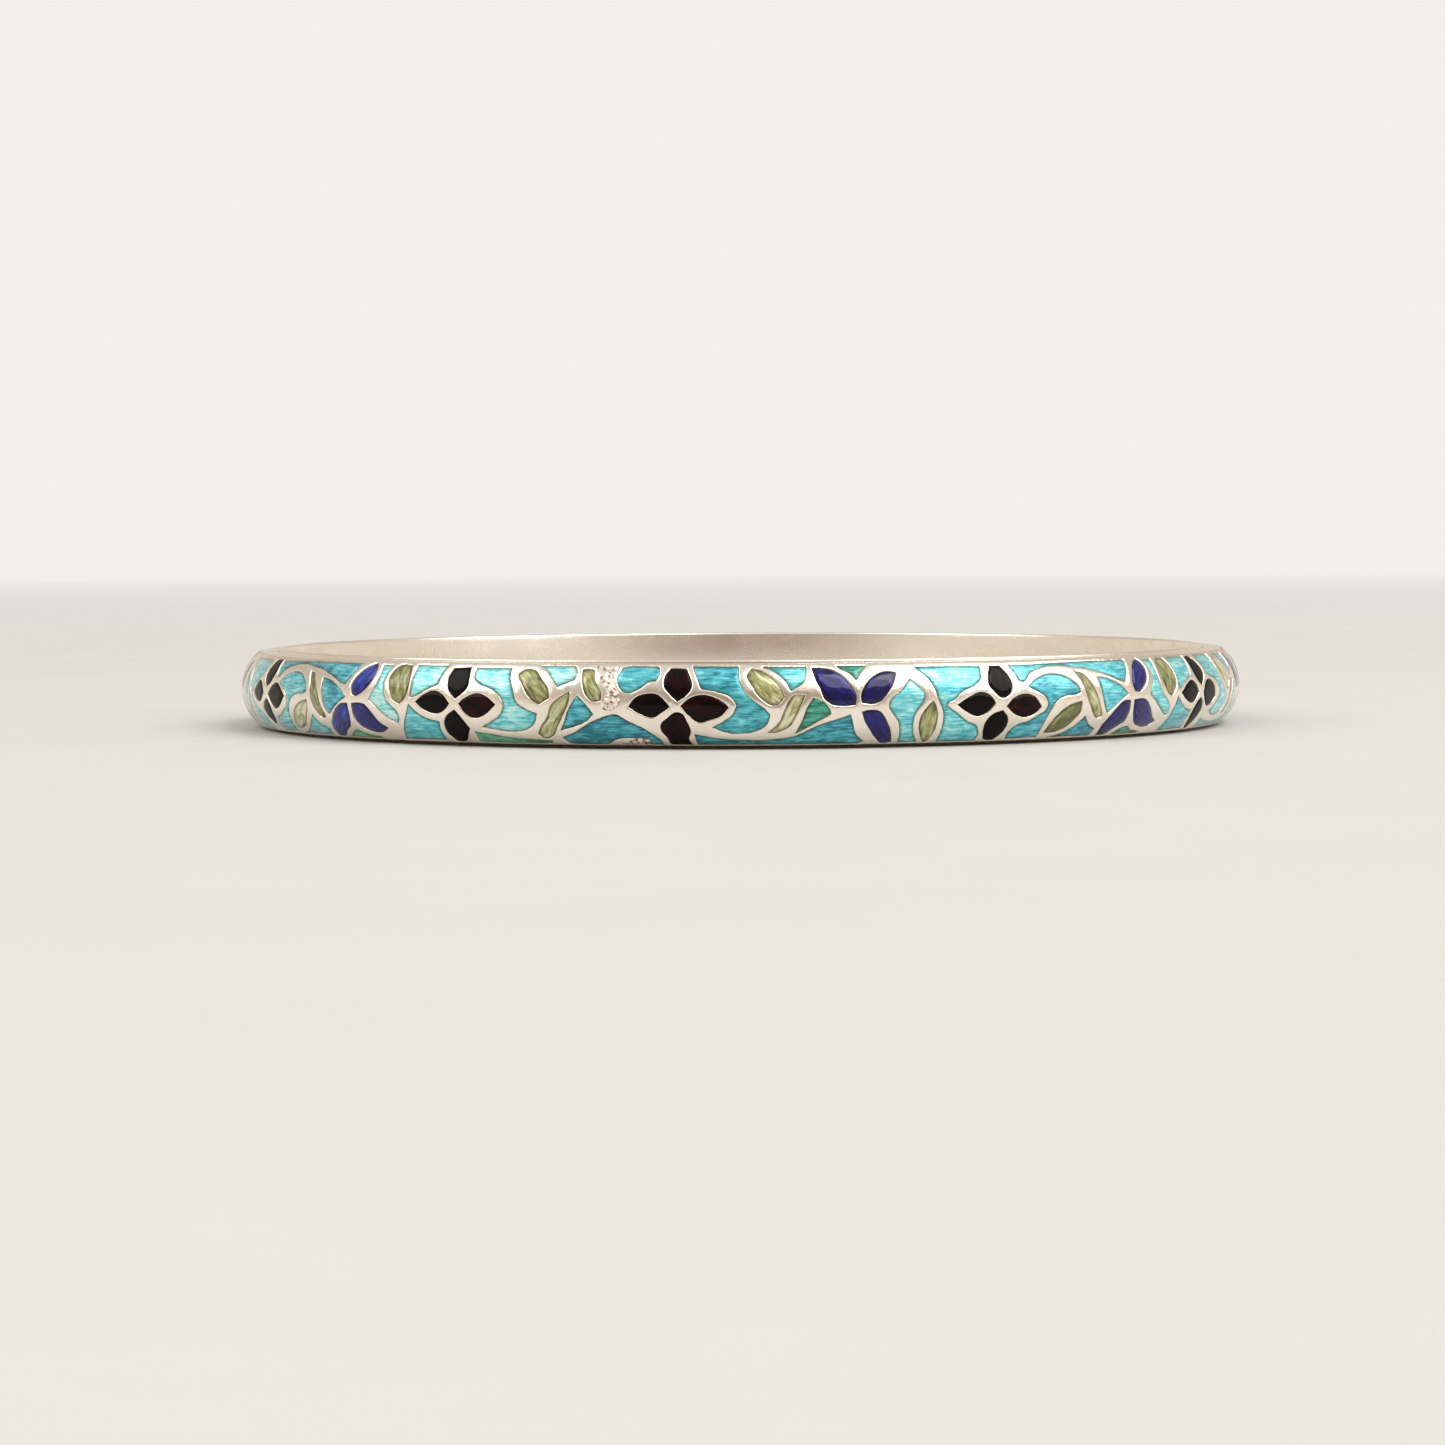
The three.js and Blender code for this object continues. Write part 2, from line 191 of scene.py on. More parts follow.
UNIT_B = (27.8, 60.8, {
    "turquoise": [
        [(29.6, 2.1), (38, 2.2), (46.6, 2.2), (46.3, 1.9), (45.6, 1.3), (45.2, .95),
         (44.5, 1), (43, 1.3), (41.5, 1.55), (40, 1.75), (38.5, 1.85), (36, 2), (33.5, 1.9),
         (31.8, 1.6), (30.7, 1.15), (30.2, 1.2)],
        [(31.2, .85), (32.5, 1.3), (34.3, 1.55), (35.8, 1.5), (37.2, 1.15), (38, .7),
         (38.1, .4), (37.5, .3), (36.2, .25), (35, 0), (34.2, -.45), (33.7, -1), (33.4, -1.6),
         (33.3, -2.2), (29.3, -2.25), (29.2, -1.9), (30, -1.4), (31.3, -1.2), (32.5, -.85),
         (33.3, -.6), (33.6, -.2), (33.4, .15), (32.5, .5)],
        [(39, -1), (39.8, -1.5), (41.2, -1.85), (41, -2.25), (34.8, -2.25), (36.5, -2),
         (37.8, -1.6)],
        [(41, 1.3), (42.5, 1.15), (44.2, .75), (45.5, .2), (44.6, -.05), (43.4, -.5),
         (42.3, -.95), (41.8, -.6), (41.3, .2)],
        [(49.9, 2.15), (51.5, 2.15), (51.2, 1.5), (51.2, .9), (51.6, .3), (52.4, -.2),
         (53.2, -.6), (53.4, -.9), (53, -1.3), (51.6, -.9), (50.2, -.3), (49.2, .1),
         (49.6, .6), (50.2, 1.2), (50.1, 1.8)],
        [(54.9, 2.2), (59, 2.2), (58.7, 1.6), (58.5, 1.1), (57, .75), (55.8, .4), (55.1, .3)],
        [(54.9, -.1), (55.5, -.4), (57, -.9), (58.6, -1.1), (58.5, -1.6), (58.7, -2.2),
         (53, -2.25), (53.8, -1.4), (54.5, -.6)],
    ],
    "emerald": [
        [(44.4, -2.25), (45.3, -1.95), (46.2, -1.8), (47.5, -2.05), (49.5, -2.2), (49, -2.3),
         (46, -2.3)],
    ],
    "leaf_pair": [
        [(38.3, -.1), (38.2, -.7), (37.5, -1.2), (36.5, -1.7), (35, -1.95), (33.9, -1.95),
         (34.3, -1.4), (35.2, -.8), (36.3, -.4), (37.3, -.2)],
        [(38, 1.6), (38.9, 1.5), (39.6, 1.1), (40.4, .4), (41, -.4), (41.6, -1.1),
         (40.7, -1.15), (40, -.8), (39.3, -.2), (38.9, .4), (38.6, 1)],
    ],
    "leaf_single": [
        [(52.4, 2.1), (54.2, 2.15), (54.6, 1.5), (54.7, .8), (54.3, .2), (53.6, -.1),
         (52.8, .1), (52.2, .6), (51.8, 1.2), (52, 1.8)],
    ],
    "blue": [
        [(46.5, .35), (46.3, .9), (46.8, 1.5), (47.8, 2), (48.8, 2.25), (49.3, 2), (49.4, 1.5),
         (49, 1), (48.2, .55), (47.3, .3)],
        [(45.8, -.2), (45.85, -.9), (45.5, -1.5), (44.3, -1.9), (43.2, -2.25), (42, -2.25),
         (42, -1.7), (42.8, -1.1), (43.6, -.6), (44.6, -.25)],
        [(46.4, -.2), (46.5, -.9), (47.1, -1.5), (48.5, -1.85), (50.4, -1.85), (51.3, -1.6),
         (50.4, -1.3), (49.5, -.7), (48.6, -.25), (47.3, -.15)],
    ],
})

SEAM_UNIT = (-30.8, -6.4, {
    "turquoise": [
        [(-29.0, 2.1), (-24.7, 2.1), (-24.6, 1.7), (-24, .9), (-23.5, .2), (-22.5, -.2),
         (-21.2, -.5), (-21.5, -1), (-22.4, -1.4), (-24.5, -1.6), (-26, -1.5),
         (-27.8, -1.35), (-26.5, -1), (-25.3, -.5), (-25, 0), (-25.3, .4), (-26.5, .9),
         (-28, 1.2), (-28.9, 1.6)],
        [(-21.5, 2.25), (-17.5, 2.25), (-17.1, 1.9), (-17.2, 1.5), (-19, 1.05), (-19.4, 1.3),
         (-20.3, 1.9)],
        [(-18.8, -1.9), (-17, -1.5), (-15.5, -1), (-14, -.65), (-12.8, -.5), (-11.5, -.9),
         (-10, -1.3), (-9.2, -1.6), (-8.3, -2), (-8, -2.28), (-9.1, -2.28), (-9.6, -2),
         (-11, -1.9), (-13, -2), (-14, -2.28),
         (-17, -2.3), (-18.5, -2.1)],
        [(-16.8, .6), (-16.3, .3), (-15.5, -.2), (-15.1, -.5), (-15.9, -.9), (-17, -1.2),
         (-18.8, -1.5), (-18.2, -.9), (-17.6, -.1)],
        [(-12.4, 2.1), (-11.8, 2.2), (-9.8, 2.25), (-8.4, 2.2), (-8.35, 1.8), (-8.6, 1.45),
         (-9.2, 1.4), (-10.2, 1), (-11.6, .75), (-12.3, 1), (-12.7, 1.5)],
    ],
    "emerald": [
        [(-28.9, -1.65), (-27.3, -1.75), (-25, -1.95), (-22.5, -2.05), (-20, -2.1),
         (-20.2, -2.25), (-24, -2.28), (-28.7, -2.25)],
    ],
    "leaf_pair": [
        [(-23.7, 1.75), (-22.8, 2.05), (-21.9, 2), (-20.9, 1.5), (-20, .9), (-19.85, .4),
         (-20.9, .05), (-22, .4), (-22.9, 1.1)],
        [(-17.6, .85), (-18.6, .5), (-19.6, 0), (-20.1, -.7), (-20.8, -1.2), (-21.4, -1.7),
         (-20.9, -1.95), (-19.9, -1.85), (-19, -1.2), (-18.3, -.5), (-17.7, .2)],
    ],
    "leaf_single": [
        [(-16.6, 2.05), (-15.3, 2.05), (-15, 1.4), (-14.3, .8), (-14.2, .3), (-15, .25),
         (-15.9, .6), (-16.3, 1.2)],
    ],
    "blue": [],
})

# Where each black flower sits, and which drawing it and the unit after it use.
BACK_STEP = (295.1 - 60.8) / 7
RING = (
    [(-6.4, "front", UNIT_A), (27.8, "right", UNIT_B), (60.8, "far_right", UNIT_A)]
    + [
        (60.8 + BACK_STEP * (k + 1), name, UNIT_B if k % 2 == 0 else UNIT_A)
        for k, name in enumerate(["right", "left", "far_left", "right", "far_right", "left"])
    ]
    + [(295.1, "far_left", UNIT_B), (329.2, "left", SEAM_UNIT)]
)
SOLDER = [(-15.3, 2.44), (-14.2, 2.52), (-12.9, 2.5), (-12.75, 1.9), (-12.7, 1.2), (-12.2, .6),
          (-12.3, .1), (-13.0, -.3), (-14.0, -.3), (-14.3, .1), (-14.15, .5), (-13.9, .95),
          (-14.6, 1.45), (-14.9, 2)]
SOLDER_SPECK = [(-12.6, -2.3), (-11.9, -2.05), (-10.8, -1.95), (-9.9, -1.9), (-9.2, -2.05),
                (-9.1, -2.3), (-10.2, -2.38), (-11.4, -2.38)]
# Bends sharper than CORNER stay corners; cut edges waver by WOBBLE mm; no cell reaches beyond
# BAND_HALF mm from the mid-plane; and the drawings are widened a little to fill the band.
CORNER = math.radians(52)
WOBBLE = 0.02
BAND_HALF = 2.335
SPREAD = 1.025


def smooth_outline(points):
    """A closed curve through points in mm, which keeps the corners sharper than CORNER."""
    points = np.array(points, float)
    count = len(points)
    before, after = points - np.roll(points, 1, 0), np.roll(points, -1, 0) - points
    size_before, size_after = np.hypot(*before.T), np.hypot(*after.T)
    unit_before = before / size_before[:, None]
    unit_after = after / size_after[:, None]
    turn = np.arccos(np.clip((unit_before * unit_after).sum(1), -1, 1))
    flow = unit_before * size_after[:, None] + unit_after * size_before[:, None]
    flow /= np.maximum(np.hypot(*flow.T), 1e-9)[:, None]
    curve = []
    for i in range(count):
        j = (i + 1) % count
        length = size_after[i]
        leaving = unit_after[i] if turn[i] > CORNER else flow[i]
        arriving = unit_after[i] if turn[j] > CORNER else flow[j]
        steps = max(2, round(length / OUTLINE_STEP))
        for t in np.arange(steps) / steps:
            curve.append(
                (2 * t**3 - 3 * t**2 + 1) * points[i]
                + (t**3 - 2 * t**2 + t) * length * leaving
                + (3 * t**2 - 2 * t**3) * points[j]
                + (t**3 - t**2) * length * arriving
            )
    return np.array(curve)


def normals(loop):
    """Unit normals of a loop, to the right of its direction of travel."""
    along = np.roll(loop, -1, 0) - np.roll(loop, 1, 0)
    along /= np.maximum(np.hypot(*along.T), 1e-9)[:, None]
    return np.stack([along[:, 1], -along[:, 0]], 1)


def clockwise(loop):
    """True if the loop runs clockwise, so that its right side is its inside."""
    x, y = loop.T
    return (x * np.roll(y, -1) - np.roll(x, -1) * y).sum() < 0


def wobbled(loop, seed):
    """The loop with the small unevenness of a hand-cut cell."""
    shift = []
    for s, a in loop:
        x, y = 10 * math.sin(s / CREST * 3), 10 * math.cos(s / CREST * 3)
        slow = noise.noise(Vector((s * 1.3, a * 1.3, seed)))
        quick = noise.noise(Vector((s * 4.5, a * 4.5, seed + 7.3)))
        shift.append(WOBBLE * (1.1 * slow + 0.9 * quick))
    moved = loop + normals(loop) * np.array(shift)[:, None]
    moved[:, 1] = np.clip(moved[:, 1], -BAND_HALF, BAND_HALF)
    return moved


def drawn(points, origin, at, stretch):
    """An outline moved from where it was drawn to its place on the ring, in mm."""
    return [((at + (x - origin) * stretch) * DEGREE, a * SPREAD) for x, a in points]


def lay_out():
    """Every cell of the ring: its kind, its flower or unit number, and its outline in mm."""
    cells = []
    for k, (at, flower, (start, end, unit)) in enumerate(RING):
        own = Random(k + 11)
        centre, petals = FLOWERS[flower]
        for points in petals:
            seed = own.uniform(0, 90)
            loop = smooth_outline(drawn(points, centre, at, 1))
            cells.append(("black", k, wobbled(loop, seed)))
        following = RING[(k + 1) % len(RING)][0] + (360 if k + 1 == len(RING) else 0)
        stretch = (following - at) % 360 / (end - start)
        for kind, outlines in unit.items():
            for points in outlines:
                seed = own.uniform(0, 90)
                loop = smooth_outline(drawn(points, start, at, stretch))
                cells.append((kind, k, wobbled(loop, seed)))
    return cells


CELLS = lay_out()
# ---- end of the pattern ----

# ---- surfaces ----
# The glass dips by ENAMEL_SINK at its edge, over ENAMEL_MENISCUS, and its top waves a little.
ENAMEL_SINK = 0.055
ENAMEL_MENISCUS = 0.07
ENAMEL_WAVE = 0.007
# The glass ends just above the cell's floor.
CELL_SINK = CELL_DEPTH - 0.01
# Rows of points that follow a cell's outline, inside it and outside it, and the grid beyond.
GLASS_ROWS = (0.05, 0.12)
GLASS_GRID = 0.2
SILVER_ROWS = (0.035, EDGE_ROUND)
SILVER_ROW_CLEAR = 0.03
SILVER_GRID = np.linspace(-2.25, 2.25, 17)
SILVER_GRID_CLEAR = 0.13
# Rows of points along the shell's rims, as distances in from the rim.
RIM_ROW = 0.075
RIM_CLEAR = 0.05
RIM_LAST_ROW = 0.03
HAND_WAVE = 0.005
SHARP_EDGE = math.radians(55)
# The crust of solder: its own rows and grid, its mean and rough height, and its slope and root.
CRUST_ROWS = (0.05, 0.1)
CRUST_GRID = 0.07
CRUST_HEIGHT = 0.03
CRUST_ROUGH = 0.11
CRUST_SLOPE = 0.16
CRUST_ROOT = 0.2


def place(flat, depth):
    """Points of the unrolled band, (along, across) in mm, sunk by depth below the dome."""
    flat = np.asarray(flat, float)
    tilt = np.arcsin(np.clip(flat[:, 1] / DOME_ARC, -1, 1))
    radius = CREST - DOME_ARC + (DOME_ARC - depth) * np.cos(tilt)
    across = (DOME_ARC - depth) * np.sin(tilt)
    return revolve(flat[:, 0] / CREST, radius, across)


def revolve(angle, radius, across):
    """Points at an angle from the front, a radius from the axis and a height, in mm."""
    columns = [radius * np.sin(angle), -radius * np.cos(angle), across + MIDDLE]
    return np.stack(columns, 1) * MM


def edge_distance(points, loops, reach=0.9):
    """How far each point is from the nearest loop, at most reach, in mm."""
    starts = np.concatenate(loops)
    ends = np.concatenate([np.roll(loop, -1, 0) for loop in loops])
    left = np.minimum(starts[:, 0], ends[:, 0])
    right = np.maximum(starts[:, 0], ends[:, 0])
    found = np.full(len(points), reach)
    groups = np.array_split(np.argsort(points[:, 0]), max(1, len(points) // 300))
    for group in groups:
        near = points[group]
        if not len(near):
            continue
        kept = (right > near[:, 0].min() - reach) & (left < near[:, 0].max() + reach)
        if not kept.any():
            continue
        start, along = starts[kept], ends[kept] - starts[kept]
        part = ((near[:, None] - start) * along).sum(2) / np.maximum((along**2).sum(1), 1e-12)
        gap = near[:, None] - (start + np.clip(part, 0, 1)[..., None] * along)
        found[group] = np.minimum(reach, np.sqrt((gap**2).sum(2)).min(1))
    return found


def within(points, loop):
    """Which points lie inside the loop."""
    inside = np.zeros(len(points), bool)
    low, high = loop.min(0), loop.max(0)
    near = np.flatnonzero(((points > low) & (points < high)).all(1))
    x, y = points[near, 0][:, None], points[near, 1][:, None]
    x0, y0 = loop.T
    x1, y1 = np.roll(loop, -1, 0).T
    spans = (y0 > y) != (y1 > y)
    rise = np.where(y1 == y0, 1e-12, y1 - y0)
    crossings = spans & (x < (x1 - x0) * (y - y0) / rise + x0)
    inside[near] = crossings.sum(1) % 2 == 1
    return inside


def rippled(points, scale, seed):
    """Smooth noise from -1 to 1 at points in metres, with a grain of scale mm."""
    return np.array([noise.noise(Vector(p) / (scale * MM) + Vector((seed, 0, 0))) for p in points])


def triangles(points, borders):
    """The points joined into triangles inside the borders, which are lists of point numbers."""
    flat, _, faces, *_ = geometry.delaunay_2d_cdt(
        [Vector(p) for p in points], [], borders, 1, 1e-6, False
    )
    flat = np.array([tuple(p) for p in flat])
    return flat, anticlockwise(flat, np.array(faces)).tolist()


def anticlockwise(flat, faces):
    """The triangles with their corners in anticlockwise order."""
    (ax, ay), (bx, by), (cx, cy) = (flat[faces[:, i]].T for i in range(3))
    back = (bx - ax) * (cy - ay) < (by - ay) * (cx - ax)
    faces[back] = faces[back][:, [0, 2, 1]]
    return faces


def edge_loop(faces):
    """The boundary of a patch of faces as one ordered loop of point numbers."""
    once = {}
    for face in faces:
        for a, b in zip(face, face[1:] + face[:1]):
            if (b, a) in once:
                del once[(b, a)]
            else:
                once[(a, b)] = True
    following = dict(once.keys())
    loop = [next(iter(following))]
    while following[loop[-1]] != loop[0]:
        loop.append(following[loop[-1]])
    return loop


def filled(loop, insets, grid, own):
    """Points inside a cell: rows that follow its outline, and a scattered grid."""
    inward = loop if clockwise(loop) else loop[::-1]
    rows = []
    for inset in insets:
        row = (inward + normals(inward) * inset)[::2]
        row = row[within(row, loop)]
        rows.append(row[edge_distance(row, [loop]) > 0.93 * inset] if len(row) else row)
    low, high = loop.min(0), loop.max(0)
    xs, ys = np.arange(low[0], high[0], grid), np.arange(low[1], high[1], grid)
    spots = np.array([(x + grid / 2 * (j % 2), y) for j, y in enumerate(ys) for x in xs])
    spots += np.array([(own.uniform(-.02, .02), own.uniform(-.02, .02)) for _ in spots])
    spots = spots[within(spots, loop)]
    spots = spots[edge_distance(spots, [loop]) > insets[-1] + grid * 0.45]
    return np.concatenate(rows + [spots])


def grain_axis(loop, kind):
    """The way the engraved grain runs in a cell: round the ring, or along a leaf or petal."""
    if kind in ("turquoise", "emerald"):
        return np.array([1.0, 0.0])
    centred = loop - loop.mean(0)
    _, axes = np.linalg.eigh(centred.T @ centred)
    return axes[:, 1]


def cell_solid(loop, kind, own):
    """One cell's enamel: its points in metres, faces, and each point's edge distance and grain."""
    points = np.concatenate([loop, filled(loop, GLASS_ROWS, GLASS_GRID, own)])
    flat, top = triangles(points, [list(range(len(loop)))])
    distance = edge_distance(flat, [loop])
    surface = place(flat, 0)
    wave = rippled(surface, 0.8, own.uniform(0, 50)) * ENAMEL_WAVE
    depth = ENAMEL_SINK * np.exp(-distance / ENAMEL_MENISCUS) + wave * np.minimum(distance * 4, 1)
    rim = edge_loop(top)
    vertices = np.concatenate([place(flat, depth), place(flat[rim], CELL_SINK)])
    floor = range(len(flat), len(flat) + len(rim))
    walls = [
        (rim[(i + 1) % len(rim)], rim[i], floor[i], floor[(i + 1) % len(rim)])
        for i in range(len(rim))
    ]
    axis = grain_axis(loop, kind)
    both = np.concatenate([flat, flat[rim]])
    centred = both - loop.mean(0)
    shift = np.array([own.uniform(0, 60), own.uniform(0, 60)])
    grain = np.stack([centred @ axis, centred @ np.array([-axis[1], axis[0]])], 1) + shift
    edges = np.concatenate([distance, np.zeros(len(rim))])
    return vertices, top + walls + [tuple(reversed(floor))], edges, grain


def build(name, solids, surface, node, tones=None):
    """One object from several closed solids, standing in for a CAD node."""
    mesh = bpy.data.meshes.new(name)
    start, vertices, faces, edges, grains, tone = 0, [], [], [], [], []
    for i, (points, polygons, edge, grain) in enumerate(solids):
        vertices.append(points)
        faces += [tuple(start + v for v in polygon) for polygon in polygons]
        edges.append(edge)
        grains.append(grain)
        tone.append(np.full(len(points), tones[i] if tones else 0.0))
        start += len(points)
    mesh.from_pydata(np.concatenate(vertices).tolist(), [], faces)
    grain = np.concatenate(grains)
    corners = np.empty(len(mesh.loops), np.int32)
    mesh.loops.foreach_get("vertex_index", corners)
    mesh.uv_layers.new(name="grain").data.foreach_set("uv", grain[corners].ravel())
    mesh.attributes.new("edge", "FLOAT", "POINT").data.foreach_set("value", np.concatenate(edges))
    mesh.attributes.new("tone", "FLOAT", "POINT").data.foreach_set("value", np.concatenate(tone))
    mesh.shade_smooth()
    mesh.set_sharp_from_angle(angle=SHARP_EDGE)
    mesh.materials.append(surface)
    piece = bpy.data.objects.new(name, mesh)
    bpy.context.scene.collection.objects.link(piece)
    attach(piece, "root")
    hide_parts(node)
    return piece


def copies(loop, low, high):
    """The turns of the unrolled ring, as shifts in mm, at which a loop reaches low to high."""
    shifts = (-2 * TURN, -TURN, 0, TURN, 2 * TURN)
    return [d for d in shifts if loop[:, 0].max() + d > low and loop[:, 0].min() + d < high]


def silver_shell(loops):
    """The domed silver sheet with every cell sunk into it, as one closed solid."""
    margin = 20 * DEGREE
    half = TURN / 2
    flat, source, borders, base = [], [], [], 0
    outline_base = []
    for loop in loops:
        outline_base.append(base)
        for shift in copies(loop, -half - margin, half + margin):
            border = range(len(flat), len(flat) + len(loop))
            borders.append(list(reversed(border)) if clockwise(loop) else list(border))
            flat += [(s + shift, a) for s, a in loop]
            source += range(base, base + len(loop))
        base += len(loop)
    count_outline = base
    ring = np.arange(RING_STEPS) * TURN / RING_STEPS - half
    fill = []
    for loop in loops:
        outward = loop[::-1] if clockwise(loop) else loop
        for inset in SILVER_ROWS:
            fill.append(outward + normals(outward) * inset)
    close = np.arange(2 * RING_STEPS) * TURN / RING_STEPS / 2 - half
    for a in (-SHELL_HALF + RIM_ROW, SHELL_HALF - RIM_ROW):
        fill.append(np.stack([close, np.full(len(close), a)], 1))
    fill.append(np.array([(s + .12 * (j % 2), a) for j, a in enumerate(SILVER_GRID) for s in ring]))
    fill = np.concatenate(fill)
    fill[:, 0] = (fill[:, 0] + half) % TURN - half
    wrapped = [loop + (shift, 0) for loop in loops for shift in copies(loop, -half - 2, half + 2)]
    clear = edge_distance(fill, wrapped)
    held = np.zeros(len(fill), bool)
    for loop in wrapped:
        held |= within(fill, loop)
    grid_start = len(fill) - len(SILVER_GRID) * RING_STEPS
    wanted = np.where(np.arange(len(fill)) < grid_start, SILVER_ROW_CLEAR, SILVER_GRID_CLEAR)
    fill = fill[~held & (clear > wanted) & (np.abs(fill[:, 1]) < SHELL_HALF - RIM_CLEAR)]
    rims = [
        np.stack([ring, np.full(RING_STEPS, a)], 1)
        for a in (-SHELL_HALF, SHELL_HALF, RIM_LAST_ROW - SHELL_HALF, SHELL_HALF - RIM_LAST_ROW)
    ]
    loose = np.concatenate(rims + [fill])
    for shift in (-TURN, 0, TURN):
        moved = loose + (shift, 0)
        near = np.flatnonzero(np.abs(moved[:, 0]) < half + 2 * margin)
        flat += moved[near].tolist()
        source += (near + base).tolist()
    points, _, faces, came, _, held_by = geometry.delaunay_2d_cdt(
        [Vector(p) for p in flat], [], borders, 0, 1e-6, True
    )
    points = np.array([tuple(p) for p in points])
    number = np.array([source[c[0]] for c in came])
    home = np.concatenate(loops + [loose])
    wrapped = [loop + (shift, 0) for loop in loops for shift in copies(loop, -half - 9, half + 9)]
    folded = home.copy()
    folded[:, 0] = (folded[:, 0] + half) % TURN - half
    clear = edge_distance(folded, wrapped)
    rim = SHELL_HALF - np.abs(home[:, 1])
    depth = EDGE_DROP * np.clip(1 - clear / EDGE_ROUND, 0, 1) ** 2
    depth += RIM_DROP * np.clip(1 - rim / RIM_ROUND, 0, 1) ** 2
    depth += HAND_WAVE * rippled(place(home, 0), 1.1, 3) * np.clip(clear * 4, 0, 1)
    vertices = [place(home, depth), place(home[:count_outline], CELL_DEPTH)]
    floor_at = len(home)
    faces = anticlockwise(points, np.array(faces))
    middle = points[faces, 0].mean(1)
    sunk = np.array([bool(inside) for inside in held_by]) * floor_at
    kept = (middle >= -half) & (middle < half)
    made = (number[faces] + sunk[:, None])[kept].tolist()
    for loop, first in zip(loops, outline_base):
        size = len(loop)
        turn = range(size)[::-1] if not clockwise(loop) else range(size)
        order = [first + i for i in turn]
        for i, here in enumerate(order):
            after = order[(i + 1) % size]
            made.append((after, here, here + floor_at, after + floor_at))
    half_section = np.array([2.42, 2.42, 2.4, 2.28, 2.28, 2.18, 1.6, .8])
    across = np.concatenate([half_section, [0], -half_section[::-1]]) * (SHELL_HALF / 2.42)
    dome = CREST - DOME_ARC + np.sqrt(DOME_ARC**2 - across**2) - SHELL_SHEET
    foot = LINER_OUTER + FIT_GAP
    dome[[0, -1]] = foot + 0.7
    dome[[1, -2]] = foot + 0.03
    dome[[2, -3]] = foot
    dome[[3, -4]] = foot
    first = floor_at + count_outline
    low_rim, high_rim = base, base + RING_STEPS
    previous = high_rim
    for a, r in zip(across, dome):
        vertices.append(revolve(ring / CREST, np.full(RING_STEPS, r), np.full(RING_STEPS, a)))
        for i in range(RING_STEPS):
            j = (i + 1) % RING_STEPS
            made.append((previous + i, previous + j, first + j, first + i))
        previous = first
        first += RING_STEPS
    for i in range(RING_STEPS):
        j = (i + 1) % RING_STEPS
        made.append((previous + i, previous + j, low_rim + j, low_rim + i))
    vertices = np.concatenate(vertices)
    edges = np.concatenate([clear, np.zeros(count_outline), np.full(len(across) * RING_STEPS, .9)])
    flatness = np.concatenate([home, home[:count_outline],
                               np.tile(np.stack([ring, ring * 0], 1), (len(across), 1))])
    return vertices, made, edges, flatness


def liner_band():
    """The plain inner band, with rounded edges and the faint waviness of hand polishing."""
    inner, round_off = LINER_OUTER - LINER_THICKNESS + LINER_CROWN, 0.14
    section = []
    for corner_r, corner_a, start in (
        (LINER_OUTER - round_off, LINER_HALF - round_off, 0),
        (inner + round_off, LINER_HALF - round_off, 90),
        (inner + round_off, round_off - LINER_HALF, 180),
        (LINER_OUTER - round_off, round_off - LINER_HALF, 270),
    ):
        for turn in (0, 30, 60, 90):
            angle = math.radians(start + turn)
            section.append((corner_r + round_off * math.cos(angle),
                            corner_a + round_off * math.sin(angle)))
        if start == 90:
            section += [(inner - LINER_CROWN * (1 - (a / 2.4) ** 2), a)
                        for a in np.linspace(2.2, -2.2, 11)]
    angles = np.arange(RING_STEPS) * math.tau / RING_STEPS
    vertices = []
    for r, a in section:
        row = revolve(angles, np.full(RING_STEPS, r), np.full(RING_STEPS, a))
        bend = rippled(row, 7, 5) * 0.05 + rippled(row, 2.2, 9) * 0.012
        inward = 1 if r < inner + 0.1 else 0.3
        vertices.append(revolve(angles, r + bend * inward, a + bend * 0.25))
    faces = []
    for k in range(len(section)):
        row, after = k * RING_STEPS, (k + 1) % len(section) * RING_STEPS
        for i in range(RING_STEPS):
            j = (i + 1) % RING_STEPS
            faces.append((row + i, row + j, after + j, after + i))
    vertices = np.concatenate(vertices)
    vertices[:, 2] = np.clip(vertices[:, 2], 0, 2 * MIDDLE * MM)
    grain = np.array([(angles[i] * CREST, a) for _, a in section for i in range(RING_STEPS)])
    hidden = np.array([0.02 if r > LINER_OUTER - 0.05 else 0.9 for r, _ in section])
    return vertices, faces, np.repeat(hidden, RING_STEPS), grain


def solder_lump(outline_points, own):
    """A crust of solder that stands a little proud of the dome, rough like frozen grains."""
    loop = wobbled(smooth_outline([(x * DEGREE, a) for x, a in outline_points]), own.uniform(0, 9))
    points = np.concatenate([loop, filled(loop, CRUST_ROWS, CRUST_GRID, own)])
    flat, top = triangles(points, [list(range(len(loop)))])
    distance = edge_distance(flat, [loop])
    surface = place(flat, 0)
    grains = rippled(surface, 0.16, 2) * 0.6 + rippled(surface, 0.4, 4) * 0.7
    slope = np.clip(distance / CRUST_SLOPE, 0, 1)
    height = slope * (CRUST_HEIGHT + CRUST_ROUGH * grains) - 0.03 * (distance < 0.01)
    rim = edge_loop(top)
    vertices = np.concatenate([place(flat, -height), place(flat[rim], CRUST_ROOT)])
    floor = range(len(flat), len(flat) + len(rim))
    walls = [
        (rim[(i + 1) % len(rim)], rim[i], floor[i], floor[(i + 1) % len(rim)])
        for i in range(len(rim))
    ]
    both = np.concatenate([flat, flat[rim]])
    edges = np.concatenate([distance, np.zeros(len(rim))])
    return vertices, top + walls + [tuple(reversed(floor))], edges, both


# ---- materials ----
def rgb(red, green, blue):
    """A colour in linear light from the usual 0-255 values."""
    def linear(value):
        value /= 255
        return value / 12.92 if value <= 0.04045 else ((value + 0.055) / 1.055) ** 2.4
    return (linear(red), linear(green), linear(blue), 1)


